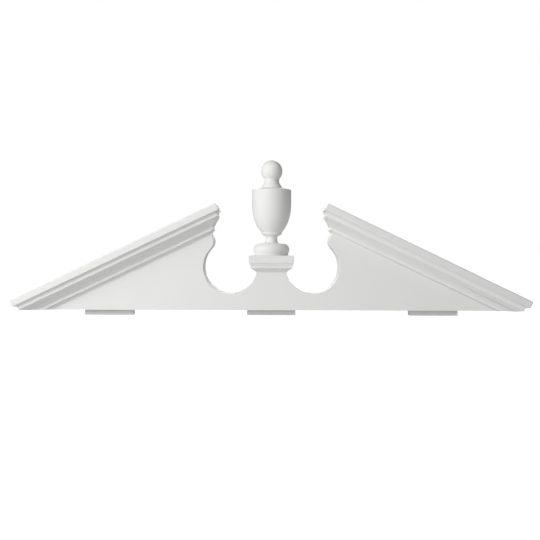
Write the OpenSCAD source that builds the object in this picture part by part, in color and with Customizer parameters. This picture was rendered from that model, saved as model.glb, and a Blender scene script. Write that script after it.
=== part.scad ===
// Broken pediment for the head of a doorway: a flat board with raking
// cornices, a capped pedestal between two round cut-outs, a turned urn on the
// pedestal, and three blocks under the base edge.
//
// X runs across the doorway, Y into the wall and Z up. The origin is midway
// between the tips and midway from the wall to the fascia, and the blocks
// stand on z = 0.

/* [Overall] */
// Width between the two outer tips
overall_w = 1830; // [1400:1:2300]
// Height of each outer tip above the base edge
tip_h = 36; // [24:1:60]
// Height of each inner peak above the base edge
peak_h = 378; // [300:1:460]
// Width of the gap between the two inner peaks
throat_w = 395; // [330:1:500]

/* [Board] */
// Thickness of the board, from the wall to its front
board_t = 110; // [80:1:140]
// Height of the board left under each round cut-out
web_h = 59; // [40:1:90]
// Width of the pedestal at its narrowest
neck_w = 105; // [80:1:150]
// Radius of the rounded nose under each inner end of the cornice
nose_r = 37; // [25:1:50]
// How far the nose stands out past the cornice above it
nose_out = 10; // [5:0.5:20]

/* [Raking cornice] */
// Projection of the cornice in front of the board
cornice_p = 63; // [45:1:80]
// Height of the fascia, square to the rake
fascia_h = 25; // [15:0.5:35]
// Height of the small hollow under the fascia
small_hollow_h = 8.5; // [6:0.5:14]
// Projection that the small hollow takes up
small_hollow_p = 12.5; // [6:0.5:16]
// Height of the upper fillet
upper_fillet_h = 10; // [5:0.5:14]
// Height of the long hollow
long_hollow_h = 25.5; // [18:0.5:36]
// Height of the lower fillet
lower_fillet_h = 10; // [5:0.5:14]
// Projection of the lower fillet in front of the board
lower_fillet_p = 15; // [6:0.5:24]
// Height of the cove that dies into the board
foot_cove_h = 10.5; // [6:0.5:16]

/* [Pedestal cap] */
// Height of the cap's top above the base edge
cap_top = 195; // [155:1:235]
// Projection of the cap past the pedestal, in front and at both sides
cap_p = 28; // [15:1:35]
// Height of the flat abacus
abacus_h = 28; // [15:0.5:35]
// Height of the small ovolo under the abacus
cap_ovolo_h = 8.5; // [4:0.5:12]
// Height of the band under the ovolo
cap_band_h = 8.5; // [5:0.5:15]
// How far the band is set in from the abacus
cap_band_in = 6.5; // [3:0.5:15]
// Height of the shallow hollow that dies into the pedestal
cap_hollow_h = 15; // [8:0.5:22]

/* [Urn, each height counted up from the stage below it] */
// Radius of the round foot
foot_r = 64.5; // [50:0.5:75]
// Radius of the foot's rounded edge
foot_round = 22; // [15:0.5:26]
// How far the urn's plinth is set in from the foot
plinth_in = 4; // [2:0.5:8]
// Height of the urn's plinth
plinth_h = 8; // [5:0.5:12]
// Height of the stem, from the foot to the collar
stem_h = 30; // [20:1:45]
// Radius of the stem at its waist
waist_r = 20.5; // [14:0.5:24]
// Height of the collar under the bowl
collar_t = 11; // [8:0.5:16]
// Radius of the bowl's round where it meets the collar
collar_r = 37; // [28:0.5:42]
// Height of the bowl's rounded lower part
bowl_round_h = 99; // [80:1:125]
// Height of the bowl's plumb upper part
bowl_wall_h = 54; // [30:1:80]
// Radius of the bowl
bowl_r = 70.5; // [50:0.5:85]
// Gap between the widest part of the urn and the wall
urn_gap = 1.5; // [0.5:0.5:10]
// Rise of the lid from the rim to the bell
lid_rise = 7; // [3:0.5:12]
// Height of the bell, from the lid to the neck
bell_h = 21; // [18:1:40]
// Radius of the bell where it stands on the lid
bell_r = 36.5; // [30:0.5:45]
// Height of the neck between the bell and the ball
throat_h = 10; // [2:0.5:12]
// Radius of the neck
throat_r = 27; // [20:0.5:29]
// Radius of the ball on top
ball_r = 38.5; // [31:0.5:46]
// Height of the ball's top above its middle
ball_rise = 39.5; // [31:0.5:46]

/* [Blocks] */
// Width of each block
block_w = 173.5; // [120:1:240]
// Height of each block
block_h = 20; // [12:1:40]
// Depth of each block, from back to front
block_d = 36; // [25:1:80]
// Distance from the wall to the front of each block
block_out = 84; // [65:1:110]
// Distance from the middle block to each outer block
block_pitch = 582; // [400:1:640]

/* [Hidden] */

// Steps along each moulding curve, and along each of the larger arcs
curve_n = 8;
arc_n = 24;

// Small square step under a fascia, and the lip at the foot of a cove
quirk = 2;
lip = 1;

// How far a small and a long hollow sink below a straight line, as a share of
// its length
small_sink = 0.1;
long_sink = 0.03;

// Rake of the cornice, from the outer tip to the inner peak
run = (overall_w - throat_w) / 2;
rake = atan2(peak_h - tip_h, run);
cornice_l = norm([run, peak_h - tip_h]);
along = [cos(rake), sin(rake)];
down = [sin(rake), -cos(rake)];
outer_tip = [-overall_w / 2, tip_h];

// Heights down the cornice, square to the rake
fillet_v = fascia_h + small_hollow_h;
hollow_v = fillet_v + upper_fillet_h;
lower_v = hollow_v + long_hollow_h;
foot_v = lower_v + lower_fillet_h;
cornice_h = foot_v + foot_cove_h;
fillet_p = cornice_p - small_hollow_p;
total_t = board_t + cornice_p;
wall_y = total_t / 2;

// Points of a stretch of an oval about centre c, with half-axes rx and ry
function oval(c, rx, ry, from, to, n = curve_n) =
    [for (i = [0:n]) let (a = from + (to - from) * i / n) c + [rx * cos(a), ry * sin(a)]];

// Points of an arc about centre c
function arc(c, r, from, to, n) = oval(c, r, r, from, to, n);

// Points of a shallow hollow from a to b
function hollow(a, b, sink) =
    let (side = [b[1] - a[1], a[0] - b[0]] * sink)
    [for (i = [0:curve_n]) let (t = i / curve_n) a + (b - a) * t + side * sin(180 * t)];

// Cornice profile as [projection, height], downwards from the top edge
cornice_curve = concat(
    [[cornice_p, 0], [cornice_p, -fascia_h]],
    hollow([cornice_p - quirk, -fascia_h], [fillet_p, -fillet_v], small_sink),
    hollow([fillet_p, -hollow_v], [lower_fillet_p, -lower_v], long_sink),
    [[lower_fillet_p, -foot_v]],
    oval([lower_fillet_p - quirk, -cornice_h], lip + quirk - lower_fillet_p, foot_cove_h, 90, 0));

// Cap profile as [projection, height], downwards from the cap's top
cap_band_p = cap_p - cap_band_in;
cap_band_v = abacus_h + cap_ovolo_h;
cap_hollow_v = cap_band_v + cap_band_h;
cap_h = cap_hollow_v + cap_hollow_h;
cap_curve = concat(
    [[cap_p, 0], [cap_p, -abacus_h]],
    oval([cap_band_p, -abacus_h], cap_p - quirk - cap_band_p, -cap_ovolo_h, 0, 90),
    hollow([cap_band_p, -cap_hollow_v], [lip, -cap_h], long_sink));

// The nose starts inside the lip at the foot of the cornice's inner end, and
// stands out from there by nose_out
cornice_foot = outer_tip + along * (cornice_l - cornice_p) + down * (cornice_h - lip / 2);
nose_c = cornice_foot - [nose_r - nose_out, sqrt(nose_r * nose_r - pow(nose_r - nose_out, 2))];

// The cut-out touches the side of the pedestal, the top of the web and the nose
cut_a = -nose_c[0] - neck_w / 2;
cut_b = nose_c[1] - web_h;
cut_s = cut_a + cut_b + nose_r;
cut_r = cut_s - sqrt(cut_s * cut_s - cut_a * cut_a - cut_b * cut_b + nose_r * nose_r);
cut_c = [-neck_w / 2 - cut_r, web_h + cut_r];
nose_start = atan2(cornice_foot[1] - nose_c[1], cornice_foot[0] - nose_c[0]);
nose_end = atan2(cut_c[1] - nose_c[1], cut_c[0] - nose_c[0]);

// Outline of the left half of the board, from its outer corner to the pedestal,
// with its upper edge inside the cornice
wing_top = outer_tip + along * cornice_p + down * fascia_h;
wing_base = wing_top + down * wing_top[1] / cos(rake);
board_half = concat(
    [wing_base, wing_top, wing_top + along * (cornice_l - 2 * cornice_p)],
    arc(nose_c, nose_r, nose_start, nose_end, arc_n / 2),
    arc(cut_c, cut_r, 180 + nose_end, 360, 2 * arc_n),
    [[-neck_w / 2, cap_top - abacus_h / 2]]);

function mirrored(points) = [for (i = [len(points) - 1:-1:0]) [-points[i][0], points[i][1]]];

// Extrudes an outline in X and Z forwards from y = 0
module forward(depth) rotate([90, 0, 0]) linear_extrude(depth) children();

// Extrudes a profile in Y and Z along X
module sideways(length) rotate([90, 0, 90]) linear_extrude(length) children();

// These three are drawn with the wall at y = 0 and the base edge at z = 0
module board() forward(board_t) polygon(concat(board_half, mirrored(board_half)));

// One raking cornice, returned to the wall at both ends and cut flat at the base
module cornice() {
    front = [for (p = cornice_curve) [-board_t - p[0], p[1]]];
    left = [for (p = cornice_curve) [cornice_p - p[0], p[1]]];
    right = [for (i = [len(left) - 1:-1:0]) [cornice_l - left[i][0], left[i][1]]];
    intersection() {
        translate([outer_tip[0], 0, tip_h]) rotate([0, -rake, 0]) intersection() {
            sideways(cornice_l) polygon(concat([[0, 0]], front, [[0, -cornice_h]]));
            forward(total_t) polygon(concat(left, right));
        }
        translate([-overall_w, -2 * total_t, 0]) cube([overall_w, 3 * total_t, overall_w]);
    }
}

// Pedestal cap, returned to the wall at both sides
module cap() {
    front = [for (p = cap_curve) [-board_t - p[0], p[1]]];
    side = [for (p = cap_curve) [-neck_w / 2 - p[0], p[1]]];
    translate([0, 0, cap_top]) intersection() {
        translate([-neck_w, 0, 0]) sideways(2 * neck_w) polygon(concat([[0, 0]], front, [[0, -cap_h]]));
        forward(board_t + cap_p) polygon(concat(side, mirrored(side)));
    }
}

module pediment() {
    color("gainsboro") translate([0, wall_y, block_h]) union() {
        board();
        cornice();
        mirror([1, 0, 0]) cornice();
        cap();
    }
}

// Turned outline of the urn as [radius, height], upwards from the cap
urn_axis = max(bowl_r, foot_r) + urn_gap;
rim_round = 4;
stem_flare = 8;
collar_in = 8;
plinth_r = foot_r - plinth_in;
foot_from = -acos((foot_round - plinth_in) / foot_round);
foot_c = [foot_r - foot_round, plinth_h - foot_round * sin(foot_from)];
foot_top = foot_c[1] + foot_round;
collar_low = foot_top + stem_h;
collar_h = collar_low + collar_t;
stem_half = (stem_h - quirk - lip) / 2;
stem_c = [waist_r + stem_flare, foot_top + quirk + stem_half];
shoulder_h = collar_h + bowl_round_h;
rim_h = shoulder_h + bowl_wall_h;
lid_top = rim_h + lid_rise;
ball_join = lid_top + bell_h + throat_h;
bowl_from = -acos(collar_r / bowl_r);
bowl_depth = bowl_round_h / sin(-bowl_from);
ball_from = -acos(throat_r / ball_r);
ball_c = [0, ball_join - ball_rise * sin(ball_from)];

// Points of the bell's ogee, from the lid up to the neck
bell_curve = [for (i = [0:curve_n]) let (t = i / curve_n)
    [bell_r + (throat_r - bell_r) * (1 - cos(180 * t)) / 2, lid_top + bell_h * t]];

// Points of the bowl's rounded part, from the collar up to the shoulder
bowl_curve = [for (i = [0:arc_n]) let (a = bowl_from * (1 - i / arc_n))
    [bowl_r * cos(a), shoulder_h + bowl_depth * sin(a)]];

urn_curve = concat(
    [[0, 0], [plinth_r, 0]],
    arc(foot_c, foot_round, foot_from, 90, 2 * curve_n),
    oval(stem_c, -stem_flare, stem_half, -90, 90, arc_n),
    oval([collar_r - collar_in, collar_low + collar_in], collar_in, -collar_in, 90, 0),
    bowl_curve,
    arc([bowl_r - rim_round, rim_h - rim_round], rim_round, 0, 90, curve_n),
    bell_curve,
    oval(ball_c, ball_r, ball_rise, ball_from, 90, arc_n));

module urn() {
    color("white") translate([0, wall_y - urn_axis, block_h + cap_top])
        rotate_extrude($fn = 96) polygon(urn_curve);
}

module block(x) {
    color("silver") translate([x - block_w / 2, wall_y - block_out, 0]) cube([block_w, block_d, block_h]);
}

module left_block() block(-block_pitch);
module centre_block() block(0);
module right_block() block(block_pitch);

pediment();
urn();
left_block();
centre_block();
right_block();
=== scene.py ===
"""Looks of a broken pediment with a turned urn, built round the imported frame.

Sizes are in metres, in the frame's own axes: X runs across the doorway, Y into
the wall and Z up. The blocks stand on z = 0 and the wall side is the highest Y.
"""

import logging
import math
from dataclasses import dataclass
from enum import Enum

import bmesh
import bpy
from mathutils import Matrix, Vector


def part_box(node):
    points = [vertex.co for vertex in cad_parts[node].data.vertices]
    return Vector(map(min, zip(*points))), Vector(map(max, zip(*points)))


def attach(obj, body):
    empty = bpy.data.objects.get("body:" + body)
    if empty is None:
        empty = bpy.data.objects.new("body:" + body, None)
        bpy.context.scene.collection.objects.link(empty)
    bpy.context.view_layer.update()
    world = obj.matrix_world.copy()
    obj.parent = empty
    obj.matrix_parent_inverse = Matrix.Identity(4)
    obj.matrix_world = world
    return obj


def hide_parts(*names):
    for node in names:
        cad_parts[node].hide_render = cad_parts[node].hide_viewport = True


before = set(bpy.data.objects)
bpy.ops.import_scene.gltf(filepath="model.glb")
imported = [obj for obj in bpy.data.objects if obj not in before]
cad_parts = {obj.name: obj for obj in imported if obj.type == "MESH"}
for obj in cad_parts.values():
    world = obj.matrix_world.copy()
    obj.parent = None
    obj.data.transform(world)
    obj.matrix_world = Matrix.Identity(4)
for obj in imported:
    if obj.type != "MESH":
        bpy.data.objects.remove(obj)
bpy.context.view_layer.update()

BODY = "root"
FULL_TURN = math.tau
QUARTER_TURN = math.pi / 2
WELD = 1e-6
LEVEL = 1e-5
ARRIS_STEPS = 3
FLAT_FACES_LEAD = 100

log = logging.getLogger("pediment")


# ---------------------------------------------------------------- outlines


def arc(centre: Vector, radii: tuple[float, float], start: float, end: float, steps: int) -> list[Vector]:
    """Points of an elliptic arc.

    Args:
        centre: Centre of the ellipse.
        radii: Its two half-axes, along the first and the second coordinate.
        start: First angle, in radians.
        end: Last angle, in radians.
        steps: Number of chords.

    Returns:
        The points, first and last included.
    """
    angles = [start + (end - start) * i / steps for i in range(steps + 1)]
    return [centre + Vector((radii[0] * math.cos(a), radii[1] * math.sin(a))) for a in angles]


def hollow(start: Vector, end: Vector, sink: float, steps: int) -> list[Vector]:
    """Points of a shallow hollow.

    Args:
        start: First point.
        end: Last point.
        sink: How far it sinks below the straight line, as a share of its length.
        steps: Number of chords.

    Returns:
        The points, first and last included.
    """
    side = Vector((end.y - start.y, start.x - end.x)) * sink
    shares = [i / steps for i in range(steps + 1)]
    return [start.lerp(end, t) + side * math.sin(math.pi * t) for t in shares]


def eased(points: list[Vector], radius: float, least: float = math.radians(25)) -> list[Vector]:
    """Rounds the sharp inner points of an open outline, as paint and moulding soften an arris.

    Args:
        points: The outline, in order.
        radius: Distance from a corner at which its round begins, or less beside a short stretch.
        least: Turns smaller than this stay as they are, in radians.

    Returns:
        The outline with its corners rounded.
    """
    made = [points[0]]
    for before, corner, after in zip(points, points[1:], points[2:]):
        back, ahead = before - corner, after - corner
        if back.length < WELD or ahead.length < WELD or math.pi - back.angle(ahead) < least:
            made.append(corner)
            continue
        reach = min(radius, back.length / 2, ahead.length / 2)
        first, last = corner + back.normalized() * reach, corner + ahead.normalized() * reach
        for i in range(ARRIS_STEPS + 1):
            t = i / ARRIS_STEPS
            made.append(first.lerp(corner, t).lerp(corner.lerp(last, t), t))
    made.append(points[-1])
    return made


# ---------------------------------------------------------------- meshes


def edges_between(verts: list[bmesh.types.BMVert]) -> set[bmesh.types.BMEdge]:
    """Edges that have both their ends in a list of vertices."""
    inside = set(verts)
    return {e for v in verts for e in v.link_edges if e.other_vert(v) in inside}


def swept(curve: list[Vector], stations: list[tuple[Vector, Vector]]) -> bmesh.types.BMesh:
    """Runs a profile past a row of stations and closes its top, its foot and its back.

    Args:
        curve: The profile as projection and height, downwards from the top.
        stations: The route in plan. Each has the place of a point with no projection, and where
            one metre of projection carries it.

    Returns:
        The closed solid.
    """
    bm = bmesh.new()
    step = bm.verts.layers.int.new("step")
    chain = [bm.verts.new((0, 0, p.y)) for p in curve]
    for i, vert in enumerate(chain):
        vert[step] = i
    edges = [bm.edges.new(pair) for pair in zip(chain, chain[1:])]
    rails: tuple[list[bmesh.types.BMVert], list[bmesh.types.BMVert]] = ([], [])
    for number, (base, outward) in enumerate(stations):
        if number:
            moved = bmesh.ops.extrude_edge_only(bm, edges=edges)["geom"]
            chain = [g for g in moved if isinstance(g, bmesh.types.BMVert)]
            edges = list(edges_between(chain))
        for vert in chain:
            vert.co.xy = base + outward * curve[vert[step]].x
        rails[0].extend(v for v in chain if v[step] == 0)
        rails[1].extend(v for v in chain if v[step] == len(curve) - 1)
    for rail in rails:
        bm.edges.new((rail[0], rail[-1]))
        bmesh.ops.contextual_create(bm, geom=list(edges_between(rail)))
    bmesh.ops.holes_fill(bm, edges=[e for e in bm.edges if e.is_boundary], sides=0)
    bmesh.ops.recalc_face_normals(bm, faces=bm.faces)
    return bm


def placed(bm: bmesh.types.BMesh, name: str) -> bpy.types.Object:
    """Turns a bmesh into an object at the origin and frees it.

    Args:
        bm: The finished mesh, in the frame's axes.
        name: Name of the object and of its mesh.

    Returns:
        The new object, linked to the scene.
    """
    mesh = bpy.data.meshes.new(name)
    bm.to_mesh(mesh)
    bm.free()
    made = bpy.data.objects.new(name, mesh)
    bpy.context.scene.collection.objects.link(made)
    return made


def shaded(piece: bpy.types.Object, sharp: float = math.radians(35)) -> None:
    """Smooths the curved faces of a piece and keeps its flat faces flat.

    Args:
        piece: The object.
        sharp: Edges that turn more than this stay crisp, in radians.
    """
    piece.data.shade_smooth()
    piece.data.set_sharp_from_angle(angle=sharp)
    weighted = piece.modifiers.new("flat faces lead", "WEIGHTED_NORMAL")
    weighted.keep_sharp = True
    weighted.weight = FLAT_FACES_LEAD


def cuboid(low: Vector, high: Vector) -> bmesh.types.BMesh:
    """A plain block between two corners."""
    bm = bmesh.new()
    bmesh.ops.create_cube(bm, size=1.0)
    bmesh.ops.scale(bm, vec=high - low, verts=bm.verts)
    bmesh.ops.translate(bm, vec=(low + high) / 2, verts=bm.verts)
    return bm


class Cut(Enum):
    """Ways in which one closed solid changes another."""

    ADD = "UNION"
    KEEP_INSIDE = "INTERSECT"


def combined(main: bpy.types.Object, steps: list[tuple[Cut, bpy.types.Object]]) -> None:
    """Joins and trims closed solids into the first one, as one casting.

    Args:
        main: The solid that is changed.
        steps: What is done to it, in order, and with which solid. Those are removed afterwards.
    """
    for cut, other in steps:
        step = main.modifiers.new(other.name, "BOOLEAN")
        step.operation, step.solver, step.object = cut.value, "MANIFOLD", other
    depsgraph = bpy.context.evaluated_depsgraph_get()
    cast = bpy.data.meshes.new_from_object(main.evaluated_get(depsgraph))
    main.modifiers.clear()
    main.data = cast
    for _, other in steps:
        bpy.data.meshes.remove(other.data)


# ---------------------------------------------------------------- finishes


MEAN_NOISE = 0.5
SPECK_SCALE = 1800.0
CLOUD_DETAIL, SPECK_DETAIL, PEEL_DETAIL = 3.0, 1.0, 2.0


class Socket(Enum):
    """Kinds of socket on a node group."""

    VALUE = "NodeSocketFloat"
    COLOUR = "NodeSocketColor"
    VECTOR = "NodeSocketVector"


def paint_skin() -> bpy.types.ShaderNodeTree:
    """The skin of a sprayed primer coat, shared by every finish.

    Broad clouds shift the colour and the gloss a little, a finer ripple like
    the peel of an orange gives the height, and fine specks grain it.

    Returns:
        The node group, with Colour, Roughness and Height to put in a material.
    """
    group = bpy.data.node_groups.new("paint_skin", "ShaderNodeTree")
    face = group.interface
    for name, kind in (("Vector", Socket.VECTOR), ("Colour", Socket.COLOUR), ("Cloud scale", Socket.VALUE),
                       ("Cloud depth", Socket.VALUE), ("Peel scale", Socket.VALUE), ("Grain", Socket.VALUE),
                       ("Roughness", Socket.VALUE), ("Roughness spread", Socket.VALUE)):
        face.new_socket(name, in_out="INPUT", socket_type=kind.value)
    for name, kind in (("Colour", Socket.COLOUR), ("Roughness", Socket.VALUE), ("Height", Socket.VALUE)):
        face.new_socket(name, in_out="OUTPUT", socket_type=kind.value)
    nodes, links = group.nodes, group.links
    given, out = nodes.new("NodeGroupInput"), nodes.new("NodeGroupOutput")

    def noise(scale: bpy.types.NodeSocket | float, detail: float) -> bpy.types.NodeSocket:
        """A noise pattern on the group's own coordinates."""
        node = nodes.new("ShaderNodeTexNoise")
        node.inputs["Detail"].default_value = detail
        links.new(given.outputs["Vector"], node.inputs["Vector"])
        if isinstance(scale, float):
            node.inputs["Scale"].default_value = scale
        else:
            links.new(scale, node.inputs["Scale"])
        return node.outputs["Fac"]

    def maths(kind: str, *terms: bpy.types.NodeSocket | float) -> bpy.types.NodeSocket:
        """One step of arithmetic."""
        node = nodes.new("ShaderNodeMath")
        node.operation = kind
        for socket, term in zip(node.inputs, terms):
            if isinstance(term, float):
                socket.default_value = term
            else:
                links.new(term, socket)
        return node.outputs[0]

    clouds = maths("SUBTRACT", noise(given.outputs["Cloud scale"], CLOUD_DETAIL), MEAN_NOISE)
    specks = maths("SUBTRACT", noise(SPECK_SCALE, SPECK_DETAIL), MEAN_NOISE)
    shade = maths("ADD", maths("MULTIPLY", clouds, given.outputs["Cloud depth"]),
                  maths("MULTIPLY", specks, given.outputs["Grain"]))
    tint = nodes.new("ShaderNodeVectorMath")
    tint.operation = "SCALE"
    links.new(given.outputs["Colour"], tint.inputs[0])
    links.new(maths("ADD", shade, 1.0), tint.inputs["Scale"])
    links.new(tint.outputs[0], out.inputs["Colour"])
    spread = maths("MULTIPLY", clouds, given.outputs["Roughness spread"])
    links.new(maths("ADD", given.outputs["Roughness"], spread), out.inputs["Roughness"])
    peel = noise(given.outputs["Peel scale"], PEEL_DETAIL)
    links.new(maths("ADD", peel, maths("MULTIPLY", specks, given.outputs["Grain"])), out.inputs["Height"])
    return group


@dataclass(frozen=True)
class Paint:
    """One coat of primer.

    Args:
        slot: Material slot of the record that it stands for.
        colour: Linear base colour.
        roughness: Mean roughness.
        roughness_spread: How far the clouds move the roughness.
        cloud_scale: Clouds to the metre.
        cloud_depth: How far the clouds move the colour.
        peel_scale: Ripples to the metre.
        peel_height: Height of the ripple, in metres.
        grain: Strength of the finest specks.
        specular: Level of the shine on the surface.
    """

    slot: str
    colour: tuple[float, float, float]
    roughness: float = 0.6
    roughness_spread: float = 0.12
    cloud_scale: float = 7.0
    cloud_depth: float = 0.03
    peel_scale: float = 260.0
    peel_height: float = 0.00012
    grain: float = 0.02
    specular: float = 0.35

    def material(self, skin: bpy.types.ShaderNodeTree) -> bpy.types.Material:
        """Mixes the paint.

        Args:
            skin: The shared paint_skin group.

        Returns:
            A material with a Principled shader.
        """
        made = bpy.data.materials.new(self.slot)
        made.use_nodes = True
        nodes, links = made.node_tree.nodes, made.node_tree.links
        shader = nodes["Principled BSDF"]
        place = nodes.new("ShaderNodeTexCoord")
        coat = nodes.new("ShaderNodeGroup")
        coat.node_tree = skin
        links.new(place.outputs["Object"], coat.inputs["Vector"])
        coat.inputs["Colour"].default_value = (*self.colour, 1.0)
        for name, value in (("Cloud scale", self.cloud_scale), ("Cloud depth", self.cloud_depth),
                            ("Peel scale", self.peel_scale), ("Grain", self.grain),
                            ("Roughness", self.roughness), ("Roughness spread", self.roughness_spread)):
            coat.inputs[name].default_value = value
        bump = nodes.new("ShaderNodeBump")
        bump.inputs["Distance"].default_value = self.peel_height
        links.new(coat.outputs["Height"], bump.inputs["Height"])
        links.new(coat.outputs["Colour"], shader.inputs["Base Color"])
        links.new(coat.outputs["Roughness"], shader.inputs["Roughness"])
        links.new(bump.outputs["Normal"], shader.inputs["Normal"])
        shader.inputs["Specular IOR Level"].default_value = self.specular
        return made


WHITE_PRIMER = Paint(slot="primed_white", colour=(0.86, 0.86, 0.85))
GREY_PRIMER = Paint(slot="block_grey", colour=(0.70, 0.70, 0.70), roughness=0.7, cloud_depth=0.08,
                    peel_scale=180.0, peel_height=0.0002)


def dressed(piece: bpy.types.Object, paint: Paint, coat: bpy.types.Material, *nodes: str) -> None:
    """Paints a finished piece and seats it in the frame.

    Args:
        piece: The finished object.
        paint: The finish that it has. Not used.
        coat: That finish's material.
        nodes: The CAD nodes that it stands for.
    """
    piece.data.materials.clear()
    piece.data.materials.append(coat)
    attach(piece, BODY)
    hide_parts(*nodes)
    piece.data.validate()
    log.info("%s: %d faces, stands for %s", piece.name, len(piece.data.polygons), ", ".join(nodes))


# ---------------------------------------------------------------- the casting


@dataclass
class Landmarks:
    """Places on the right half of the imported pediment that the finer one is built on.

    Args:
        wall_y: The wall's face.
        base_z: The base edge.
        tip: Top corner of the outer tip, as x and z.
        peak: Top corner of the inner peak, as x and z.
        cap_z: Top of the pedestal's cap.
    """

    wall_y: float
    base_z: float
    tip: Vector
    peak: Vector
    cap_z: float

    @classmethod
    def measured(cls) -> "Landmarks":
        """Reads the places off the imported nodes."""
        low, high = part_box("pediment")
        verts = [v.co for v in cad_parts["pediment"].data.vertices if v.co.x > 0]
        tip_z = max(v.z for v in verts if v.x > high.x - LEVEL)
        peak_x = min(v.x for v in verts if v.z > high.z - LEVEL)
        return cls(high.y, low.z, Vector((high.x, tip_z)), Vector((peak_x, high.z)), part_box("urn")[0].z)


@dataclass
class ReturnedMoulding:
    """A moulding that runs along the front and returns to the wall at both ends.

    Args:
        arris: How far its mitres are rounded.
        spare: How far it runs on past the wall, to be cut off there.
    """

    arris: float = 0.0012
    spare: float = 0.01

    def solid(self, curve: list[Vector], length: float, depth: float, seat: Matrix) -> bmesh.types.BMesh:
        """Runs a profile round three sides of a bare block.

        Args:
            curve: The profile as projection and height, downwards from the top.
            length: Length of the bare block.
            depth: Depth of the bare block, out from the wall.
            seat: Places the block: X along it, -Y out from the wall, Z up, from its top left corner.

        Returns:
            The closed solid.
        """
        ease = self.arris
        stations = [(Vector((0, self.spare)), Vector((-1, 0)))]
        left_mitre = self._mitre(Vector((ease, ease - depth)), math.pi)
        stations += [(p, Vector((-1, -1))) for p in left_mitre]
        right_mitre = self._mitre(Vector((length - ease, ease - depth)), math.pi + QUARTER_TURN)
        stations += [(p, Vector((1, -1))) for p in right_mitre]
        stations.append((Vector((length, self.spare)), Vector((1, 0))))
        bm = swept(curve, stations)
        bmesh.ops.transform(bm, matrix=seat, verts=bm.verts)
        return bm

    def _mitre(self, centre: Vector, start: float) -> list[Vector]:
        """Plan of one rounded mitre, a quarter turn from the start angle."""
        return arc(centre, (self.arris, self.arris), start, start + QUARTER_TURN, ARRIS_STEPS)


@dataclass
class Cornice(ReturnedMoulding):
    """The raking cornice: fascia, small hollow, fillet, long hollow, fillet and cove.

    Args:
        projection: How far the fascia stands out from the board.
        fascia_h: Height of the fascia.
        small_h: Height of the small hollow.
        small_p: Projection that the small hollow takes up.
        fillet_h: Height of the upper fillet.
        long_h: Height of the long hollow.
        lower_fillet_h: Height of the lower fillet.
        lower_fillet_p: Projection of the lower fillet in front of the board.
        cove_h: Height of the cove that dies into the board.
        quirk: Small square step at the foot of a face.
        lip: What the cove leaves standing at its foot.
        small_sink: Depth of the small hollow, as a share of its length.
        long_sink: Depth of the long hollow, as a share of its length.
        small_chords: Chords in the small hollow, few enough to leave its arrises room to be eased.
        long_chords: Chords in the long hollow, few for the same reason.
        cove_chords: Chords in the cove.
        ease: Softness of the arrises.
    """

    projection: float = 0.063
    fascia_h: float = 0.025
    small_h: float = 0.0085
    small_p: float = 0.0125
    fillet_h: float = 0.010
    long_h: float = 0.0255
    lower_fillet_h: float = 0.010
    lower_fillet_p: float = 0.015
    cove_h: float = 0.0105
    quirk: float = 0.002
    lip: float = 0.001
    small_sink: float = 0.1
    long_sink: float = 0.03
    small_chords: int = 4
    long_chords: int = 8
    cove_chords: int = 10
    ease: float = 0.0045

    @property
    def height(self) -> float:
        """Whole height, square to the rake."""
        return self.fascia_h + self.small_h + self.fillet_h + self.long_h + self.lower_fillet_h + self.cove_h

    def curve(self) -> list[Vector]:
        """The profile as projection and height, downwards from the top edge."""
        fillet_p, lower_p = self.projection - self.small_p, self.lower_fillet_p
        fillet_z = -(self.fascia_h + self.small_h)
        long_z = fillet_z - self.fillet_h
        lower_z = long_z - self.long_h
        top = [Vector((0, 0)), Vector((self.projection, 0)), Vector((self.projection, -self.fascia_h))]
        small = hollow(Vector((self.projection - self.quirk, -self.fascia_h)), Vector((fillet_p, fillet_z)),
                       self.small_sink, self.small_chords)
        long = hollow(Vector((fillet_p, long_z)), Vector((lower_p, lower_z)),
                      self.long_sink, self.long_chords)
        foot = [Vector((lower_p, lower_z - self.lower_fillet_h))]
        cove_r = self.lip + self.quirk - lower_p
        cove = arc(Vector((lower_p - self.quirk, -self.height)), (cove_r, self.cove_h),
                   QUARTER_TURN, 0, self.cove_chords)
        return eased(top + small + long + foot + cove, self.ease)[1:]

    def build(self, marks: Landmarks, board_t: float) -> bmesh.types.BMesh:
        """The right-hand cornice, whole at the base.

        Args:
            marks: Places on the frame.
            board_t: Thickness of the board.

        Returns:
            The closed solid.
        """
        run = marks.tip - marks.peak
        along = Vector((run.x, 0, run.y)).normalized()
        up = Vector((-along.z, 0, along.x))
        start = Vector((marks.peak.x, marks.wall_y, marks.peak.y)) + along * self.projection
        seat = Matrix.Translation(start) @ Matrix((along, Vector((0, 1, 0)), up)).transposed().to_4x4()
        return self.solid(self.curve(), run.length - 2 * self.projection, board_t, seat)


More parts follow.
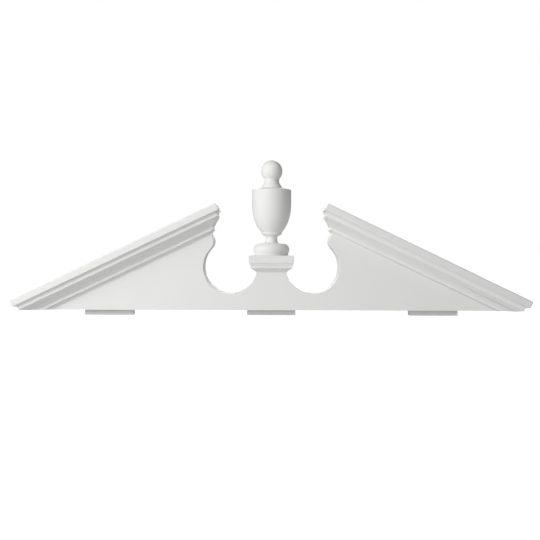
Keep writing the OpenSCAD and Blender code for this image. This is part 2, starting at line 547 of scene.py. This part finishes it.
@dataclass
class Cap(ReturnedMoulding):
    """The pedestal's cap: abacus, small ovolo, band and shallow hollow.

    Args:
        projection: How far the abacus stands out from the pedestal.
        abacus_h: Height of the abacus.
        ovolo_h: Height of the ovolo under it.
        band_h: Height of the band.
        band_in: How far the band is set in from the abacus.
        hollow_h: Height of the hollow that dies into the pedestal.
        quirk: Small square step at the foot of the abacus.
        lip: What the hollow leaves standing at its foot.
        sink: Depth of the hollow, as a share of its length.
        ovolo_chords: Chords in the ovolo.
        hollow_chords: Chords in the hollow.
        ease: Softness of the arrises.
    """

    projection: float = 0.028
    abacus_h: float = 0.028
    ovolo_h: float = 0.0085
    band_h: float = 0.0085
    band_in: float = 0.0065
    hollow_h: float = 0.015
    quirk: float = 0.004
    lip: float = 0.001
    sink: float = 0.03
    ovolo_chords: int = 10
    hollow_chords: int = 12
    ease: float = 0.0015

    def curve(self) -> list[Vector]:
        """The profile as projection and height, downwards from the cap's top."""
        band_p = self.projection - self.band_in
        foot_z = -(self.abacus_h + self.ovolo_h + self.band_h)
        top = [Vector((0, 0)), Vector((self.projection, 0)), Vector((self.projection, -self.abacus_h))]
        ovolo = arc(Vector((band_p, -self.abacus_h)), (self.band_in - self.quirk, -self.ovolo_h),
                    0, QUARTER_TURN, self.ovolo_chords)
        foot = hollow(Vector((band_p, foot_z)), Vector((self.lip, foot_z - self.hollow_h)), self.sink,
                      self.hollow_chords)
        return eased(top + ovolo + foot, self.ease)[1:]

    def build(self, marks: Landmarks, board_t: float, neck_w: float) -> bmesh.types.BMesh:
        """The cap on its pedestal.

        Args:
            marks: Places on the frame.
            board_t: Thickness of the board.
            neck_w: Width of the pedestal at its narrowest.

        Returns:
            The closed solid.
        """
        seat = Matrix.Translation(Vector((-neck_w / 2, marks.wall_y, marks.cap_z)))
        return self.solid(self.curve(), neck_w, board_t, seat)


@dataclass
class Board:
    """The flat board with its two round cut-outs and its pedestal.

    Args:
        thickness: From the wall to its front.
        web_h: Height left under each cut-out.
        neck_w: Width of the pedestal at its narrowest.
        nose_r: Radius of the nose under each inner end of the cornice.
        nose_out: How far the nose stands out past the cornice above it.
        tuck: How far the board stops short inside the mouldings.
        spare: How far it runs on past the wall and the base, to be cut off there.
        arris: Softness of its front edges.
        cut_chords: Chords in each cut-out.
        nose_chords: Chords in each nose.
    """

    thickness: float = 0.110
    web_h: float = 0.059
    neck_w: float = 0.105
    nose_r: float = 0.037
    nose_out: float = 0.010
    tuck: float = 0.012
    spare: float = 0.01
    arris: float = 0.0014
    cut_chords: int = 72
    nose_chords: int = 24

    def outline(self, marks: Landmarks, cornice: Cornice) -> list[Vector]:
        """The right half's outline, from the pedestal round to the base.

        Args:
            marks: Places on the frame.
            cornice: The cornice that the board runs up into.

        Returns:
            Its points as x and z.
        """
        along = (marks.tip - marks.peak).normalized()
        down = Vector((along.y, -along.x))
        end_top = marks.peak + along * cornice.projection
        foot = end_top + down * (cornice.height - cornice.lip / 2)
        drop = self.nose_r - self.nose_out
        nose = foot + Vector((drop, -math.sqrt(self.nose_r ** 2 - drop ** 2)))
        neck, web = self.neck_w / 2, marks.base_z + self.web_h
        a, b = nose.x - neck, nose.y - web
        s = a + b + self.nose_r
        radius = s - math.sqrt(s * s - a * a - b * b + self.nose_r ** 2)
        centre = Vector((neck + radius, web + radius))
        nose_from = math.atan2(foot.y - nose.y, foot.x - nose.x) % FULL_TURN
        nose_to = math.atan2(centre.y - nose.y, centre.x - nose.x) % FULL_TURN
        cut = arc(centre, (radius, radius), math.pi, nose_to + math.pi, self.cut_chords)
        round_nose = arc(nose, (self.nose_r, self.nose_r), nose_to, nose_from, self.nose_chords)
        shoulder = marks.tip - along * cornice.projection
        tucked = [end_top + down * self.tuck, shoulder + down * self.tuck]
        heel = shoulder + down * ((shoulder.y - marks.base_z + self.spare) / along.x)
        pedestal_top = Vector((neck, marks.cap_z - self.tuck))
        return [pedestal_top] + cut + round_nose[1:] + tucked + [heel]

    def build(self, marks: Landmarks, cornice: Cornice) -> bmesh.types.BMesh:
        """Extrudes the outline and eases its front edges.

        Args:
            marks: Places on the frame.
            cornice: The cornice that the board runs up into.

        Returns:
            The closed solid.
        """
        half = self.outline(marks, cornice)
        back = marks.wall_y + self.spare
        bm = bmesh.new()
        points = half + [Vector((-p.x, p.y)) for p in reversed(half)]
        face = bm.faces.new([bm.verts.new((p.x, back, p.y)) for p in points])
        sides = bmesh.ops.extrude_face_region(bm, geom=[face])
        front = [g for g in sides["geom"] if isinstance(g, bmesh.types.BMVert)]
        bmesh.ops.translate(bm, verts=front, vec=(0, -self.thickness - self.spare, 0))
        bmesh.ops.recalc_face_normals(bm, faces=bm.faces)
        bmesh.ops.bevel(bm, geom=list(edges_between(front)), offset=self.arris, affect="EDGES",
                        segments=ARRIS_STEPS, profile=0.5, material=-1)
        return bm


@dataclass
class Pediment:
    """The whole casting: board, two raking cornices and the pedestal's cap."""

    board: Board
    cornice: Cornice
    cap: Cap

    def build(self, marks: Landmarks) -> bpy.types.Object:
        """Casts the parts as one and cuts the back and the base flat.

        Args:
            marks: Places on the frame.

        Returns:
            The finished object.
        """
        body = placed(self.board.build(marks, self.cornice), "pediment_casting")
        right = self.cornice.build(marks, self.board.thickness)
        left = right.copy()
        bmesh.ops.transform(left, matrix=Matrix.Scale(-1, 4, (1, 0, 0)), verts=left.verts)
        bmesh.ops.recalc_face_normals(left, faces=left.faces)
        cap = self.cap.build(marks, self.board.thickness, self.board.neck_w)
        reach = 2 * marks.tip.x
        room = cuboid(Vector((-reach, -reach, marks.base_z)), Vector((reach, marks.wall_y, reach)))
        combined(body, [(Cut.ADD, placed(right, "right_cornice")), (Cut.ADD, placed(left, "left_cornice")),
                        (Cut.ADD, placed(cap, "cap")), (Cut.KEEP_INSIDE, placed(room, "room"))])
        shaded(body)
        return body


# ---------------------------------------------------------------- the urn


@dataclass
class Urn:
    """The turned urn: foot, stem, collar, bowl, lid, bell and ball.

    Args:
        foot_r: Radius of the round foot.
        foot_round: Radius of the foot's rounded edge.
        plinth_in: How far the plinth is set in from the foot.
        plinth_h: Height of the plinth.
        stem_h: Height of the stem.
        waist_r: Radius of the stem at its waist.
        collar_t: Height of the collar under the bowl.
        collar_r: Radius of the bowl's round where it meets the collar.
        bowl_round_h: Height of the bowl's rounded part.
        bowl_wall_h: Height of its plumb part.
        bowl_r: Radius of the bowl.
        lid_rise: Rise of the lid from the rim to the bell.
        bell_h: Height of the bell.
        bell_r: Radius of the bell on the lid.
        throat_h: Height of the neck between bell and ball.
        throat_r: Radius of that neck.
        ball_r: Radius of the ball.
        ball_rise: Height of the ball's top above its middle.
        quirk: Small square step under the plinth and at the top of the foot.
        lip: Small step under the collar.
        rim_round: Radius of the bowl's rim.
        stem_flare: How far the stem flares at both ends.
        collar_in: Radius of the collar's hollow edge.
        ease: Softness of its sharp edges.
        foot_chords: Chords in the foot's rounded edge.
        stem_chords: Chords in the hollow of the stem.
        collar_chords: Chords in the collar's hollow edge.
        bowl_chords: Chords in the bowl's rounded part.
        rim_chords: Chords in the bowl's rim.
        bell_chords: Chords in the bell.
        ball_chords: Chords in the ball.
        turns: Facets round the axis.
    """

    foot_r: float = 0.0645
    foot_round: float = 0.022
    plinth_in: float = 0.004
    plinth_h: float = 0.008
    stem_h: float = 0.030
    waist_r: float = 0.0205
    collar_t: float = 0.011
    collar_r: float = 0.037
    bowl_round_h: float = 0.099
    bowl_wall_h: float = 0.054
    bowl_r: float = 0.0705
    lid_rise: float = 0.007
    bell_h: float = 0.021
    bell_r: float = 0.0365
    throat_h: float = 0.010
    throat_r: float = 0.027
    ball_r: float = 0.0385
    ball_rise: float = 0.0395
    quirk: float = 0.002
    lip: float = 0.001
    rim_round: float = 0.004
    stem_flare: float = 0.008
    collar_in: float = 0.008
    ease: float = 0.0012
    foot_chords: int = 32
    stem_chords: int = 28
    collar_chords: int = 10
    bowl_chords: int = 40
    rim_chords: int = 8
    bell_chords: int = 16
    ball_chords: int = 40
    turns: int = 144

    def outline(self) -> list[Vector]:
        """Its turned outline as radius and height, from the foot's edge to the top."""
        foot_from = -math.acos((self.foot_round - self.plinth_in) / self.foot_round)
        foot_c = Vector((self.foot_r - self.foot_round,
                         self.plinth_h - self.foot_round * math.sin(foot_from)))
        foot_top = foot_c.y + self.foot_round
        collar_low = foot_top + self.stem_h
        stem_half = (self.stem_h - self.quirk - self.lip) / 2
        shoulder = collar_low + self.collar_t + self.bowl_round_h
        rim = shoulder + self.bowl_wall_h
        lid = rim + self.lid_rise
        join = lid + self.bell_h + self.throat_h
        bowl_from = -math.acos(self.collar_r / self.bowl_r)
        bowl_depth = self.bowl_round_h / math.sin(-bowl_from)
        ball_from = -math.acos(self.throat_r / self.ball_r)
        ball_c = Vector((0, join - self.ball_rise * math.sin(ball_from)))
        plinth_r = self.foot_r - self.plinth_in
        inner_r = plinth_r - self.quirk
        plinth = [Vector(p) for p in ((0, 0), (inner_r, 0), (inner_r, self.quirk), (plinth_r, self.quirk))]
        foot = arc(foot_c, (self.foot_round,) * 2, foot_from, QUARTER_TURN, self.foot_chords)
        stem = arc(Vector((self.waist_r + self.stem_flare, foot_top + self.quirk + stem_half)),
                   (-self.stem_flare, stem_half), -QUARTER_TURN, QUARTER_TURN, self.stem_chords)
        collar = arc(Vector((self.collar_r - self.collar_in, collar_low + self.collar_in)),
                     (self.collar_in, -self.collar_in), QUARTER_TURN, 0, self.collar_chords)
        bowl = arc(Vector((0, shoulder)), (self.bowl_r, bowl_depth), bowl_from, 0, self.bowl_chords)
        brim = arc(Vector((self.bowl_r - self.rim_round, rim - self.rim_round)), (self.rim_round,) * 2,
                   0, QUARTER_TURN, self.rim_chords)
        shares = [i / self.bell_chords for i in range(self.bell_chords + 1)]
        bell = [Vector((self.bell_r + (self.throat_r - self.bell_r) * (1 - math.cos(math.pi * t)) / 2,
                        lid + self.bell_h * t)) for t in shares]
        ball = arc(ball_c, (self.ball_r, self.ball_rise), ball_from, QUARTER_TURN, self.ball_chords)
        return eased(plinth + foot + stem + collar + bowl + brim + bell + ball, self.ease)

    def build(self, seat: Vector) -> bpy.types.Object:
        """Turns the outline about its axis.

        Args:
            seat: Middle of its underside.

        Returns:
            The finished object.
        """
        points = self.outline()
        points[-1].x = 0
        bm = bmesh.new()
        verts = [bm.verts.new((p.x, 0, p.y)) for p in points]
        edges = [bm.edges.new(pair) for pair in zip(verts, verts[1:])]
        bmesh.ops.spin(bm, geom=verts + edges, cent=(0, 0, 0), axis=(0, 0, 1), angle=FULL_TURN,
                       steps=self.turns, use_merge=True)
        bmesh.ops.remove_doubles(bm, verts=bm.verts, dist=WELD)
        bmesh.ops.recalc_face_normals(bm, faces=bm.faces)
        bmesh.ops.translate(bm, verts=bm.verts, vec=seat)
        made = placed(bm, "turned_urn")
        shaded(made)
        return made


# ---------------------------------------------------------------- the blocks


@dataclass
class Block:
    """One packing block under the base edge.

    Args:
        node: The CAD node that it stands for.
        arris: Softness of its edges.
    """

    node: str
    arris: float = 0.0012

    def build(self) -> bpy.types.Object:
        """Sizes the block to its node and eases its edges."""
        bm = cuboid(*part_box(self.node))
        bmesh.ops.bevel(bm, geom=bm.edges[:], offset=self.arris, affect="EDGES", segments=ARRIS_STEPS,
                        profile=0.5, material=-1)
        made = placed(bm, self.node + "_piece")
        shaded(made)
        return made


# ---------------------------------------------------------------- the stage


@dataclass(frozen=True)
class SoftBox:
    """One square area light that looks at the object.

    Args:
        name: Name of the lamp.
        azimuth: Where it stands, in degrees to the right of the camera.
        elevation: Its height, in degrees.
        distance: From the object.
        size: Length of its sides.
        power: Watts.
    """

    name: str
    azimuth: float
    elevation: float
    distance: float
    size: float
    power: float

    def hang(self, aim: Vector) -> None:
        """Hangs the lamp and turns it to the object.

        Args:
            aim: What it looks at.
        """
        side, rise = math.radians(self.azimuth), math.radians(self.elevation)
        away = Vector((math.sin(side) * math.cos(rise), -math.cos(side) * math.cos(rise), math.sin(rise)))
        data = bpy.data.lights.new(self.name, "AREA")
        data.shape = "SQUARE"
        data.size = self.size
        data.energy = self.power
        lamp = bpy.data.objects.new(self.name, data)
        lamp.location = aim + away * self.distance
        lamp.rotation_euler = (-away).to_track_quat("-Z", "Y").to_euler()
        bpy.context.scene.collection.objects.link(lamp)


SOFT_BOXES = (
    SoftBox("left_key", -45, 15, 5.0, 2.0, 126),
    SoftBox("front_fill", 0, 2, 6.0, 2.0, 42),
    SoftBox("high_left", -50, 35, 3.5, 1.6, 22),
    SoftBox("overhead", 0, 80, 3.0, 2.0, 14),
    SoftBox("back_fill", 180, 12, 5.0, 2.0, 90),
)


@dataclass
class Studio:
    """Camera, lights and the pale floor.

    Args:
        boxes: The soft boxes.
        aim_z: Height that they look at.
        surroundings: Light that comes from all round.
        backdrop: Strength of that light where it is looked at, as the white background.
        floor_light: Light that the floor gives of its own.
        floor_seen: Strength of that light where it is looked at, so that the floor reads as white.
        floor_grey: Linear base colour of the floor.
        floor_reach: From the middle of the floor to its edges.
        distance: From the camera to the wall's face.
        eye: Height of the camera.
        focal: Focal length as a share of the sensor's width.
        shift: Shift of the lens, as shares of the frame's width.
        roll: How far the camera leans to its left, in radians.
        sensor: Sensor width, in millimetres.
    """

    boxes: tuple[SoftBox, ...] = SOFT_BOXES
    aim_z: float = 0.25
    surroundings: float = 0.116
    backdrop: float = 1.0
    floor_light: float = 0.33
    floor_seen: float = 1.0
    floor_grey: float = 0.3
    floor_reach: float = 30.0
    distance: float = 3.155
    eye: float = 0.2348
    focal: float = 1.585
    shift: tuple[float, float] = (-0.0027, -0.0372)
    roll: float = -0.003
    sensor: float = 36.0

    def camera(self, wall_y: float) -> None:
        """Stands the camera level in front of the middle of the object."""
        data = bpy.data.cameras.new("camera")
        data.sensor_width = self.sensor
        data.lens = self.focal * self.sensor
        data.shift_x, data.shift_y = self.shift
        camera = bpy.data.objects.new("camera", data)
        camera.location = (0, wall_y - self.distance, self.eye)
        camera.rotation_euler = (QUARTER_TURN, self.roll, 0)
        bpy.context.scene.collection.objects.link(camera)
        bpy.context.scene.camera = camera

    def lights(self) -> None:
        """Hangs the soft boxes and sets the white surroundings."""
        aim = Vector((0, 0, self.aim_z))
        for box in self.boxes:
            box.hang(aim)
        world = bpy.data.worlds.new("studio")
        world.use_nodes = True
        nodes, links = world.node_tree.nodes, world.node_tree.links
        background = nodes["Background"]
        background.inputs["Color"].default_value = (1, 1, 1, 1)
        strength = self.seen_or_not(world.node_tree, self.surroundings, self.backdrop)
        links.new(strength, background.inputs["Strength"])
        bpy.context.scene.world = world
        bpy.context.scene.view_settings.view_transform = "Standard"

    @staticmethod
    def seen_or_not(tree: bpy.types.NodeTree, lighting: float, seen: float) -> bpy.types.NodeSocket:
        """A strength that differs between what is seen straight on and what lights the object.

        Args:
            tree: The tree that gets the nodes.
            lighting: Strength as a source of light.
            seen: Strength where it is looked at.

        Returns:
            The socket that gives the strength.
        """
        path = tree.nodes.new("ShaderNodeLightPath")
        choice = tree.nodes.new("ShaderNodeMapRange")
        choice.inputs["To Min"].default_value = lighting
        choice.inputs["To Max"].default_value = seen
        tree.links.new(path.outputs["Is Camera Ray"], choice.inputs["Value"])
        return choice.outputs["Result"]

    def floor(self) -> None:
        """Lays the flat pale floor."""
        bm = bmesh.new()
        bmesh.ops.create_grid(bm, x_segments=1, y_segments=1, size=self.floor_reach)
        made = placed(bm, "floor")
        paint = bpy.data.materials.new("floor_white")
        paint.use_nodes = True
        shader = paint.node_tree.nodes["Principled BSDF"]
        shader.inputs["Base Color"].default_value = (self.floor_grey,) * 3 + (1.0,)
        shader.inputs["Roughness"].default_value = 1.0
        shader.inputs["Specular IOR Level"].default_value = 0.0
        shader.inputs["Emission Color"].default_value = (1, 1, 1, 1)
        links = paint.node_tree.links
        glow = self.seen_or_not(paint.node_tree, self.floor_light, self.floor_seen)
        links.new(glow, shader.inputs["Emission Strength"])
        made.data.materials.append(paint)

    def build(self, wall_y: float) -> None:
        """Sets up everything round the object.

        Args:
            wall_y: The wall's face.
        """
        self.camera(wall_y)
        self.lights()
        self.floor()


def write_sizes() -> None:
    """Brings the scene's placements up to date."""
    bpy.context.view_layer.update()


def main() -> None:
    """Builds the pediment, the urn and the blocks, and then the studio."""
    logging.basicConfig(level=logging.INFO, format="%(name)s: %(message)s")
    skin = paint_skin()
    white, grey = WHITE_PRIMER.material(skin), GREY_PRIMER.material(skin)
    marks = Landmarks.measured()
    casting = Pediment(Board(), Cornice(), Cap()).build(marks)
    dressed(casting, WHITE_PRIMER, white, "pediment")
    low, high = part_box("urn")
    urn = Urn().build(Vector(((low.x + high.x) / 2, (low.y + high.y) / 2, low.z)))
    dressed(urn, WHITE_PRIMER, white, "urn")
    for node in ("left_block", "centre_block", "right_block"):
        dressed(Block(node).build(), GREY_PRIMER, grey, node)
    Studio().build(marks.wall_y)
    write_sizes()


if __name__ == "__main__":
    main()
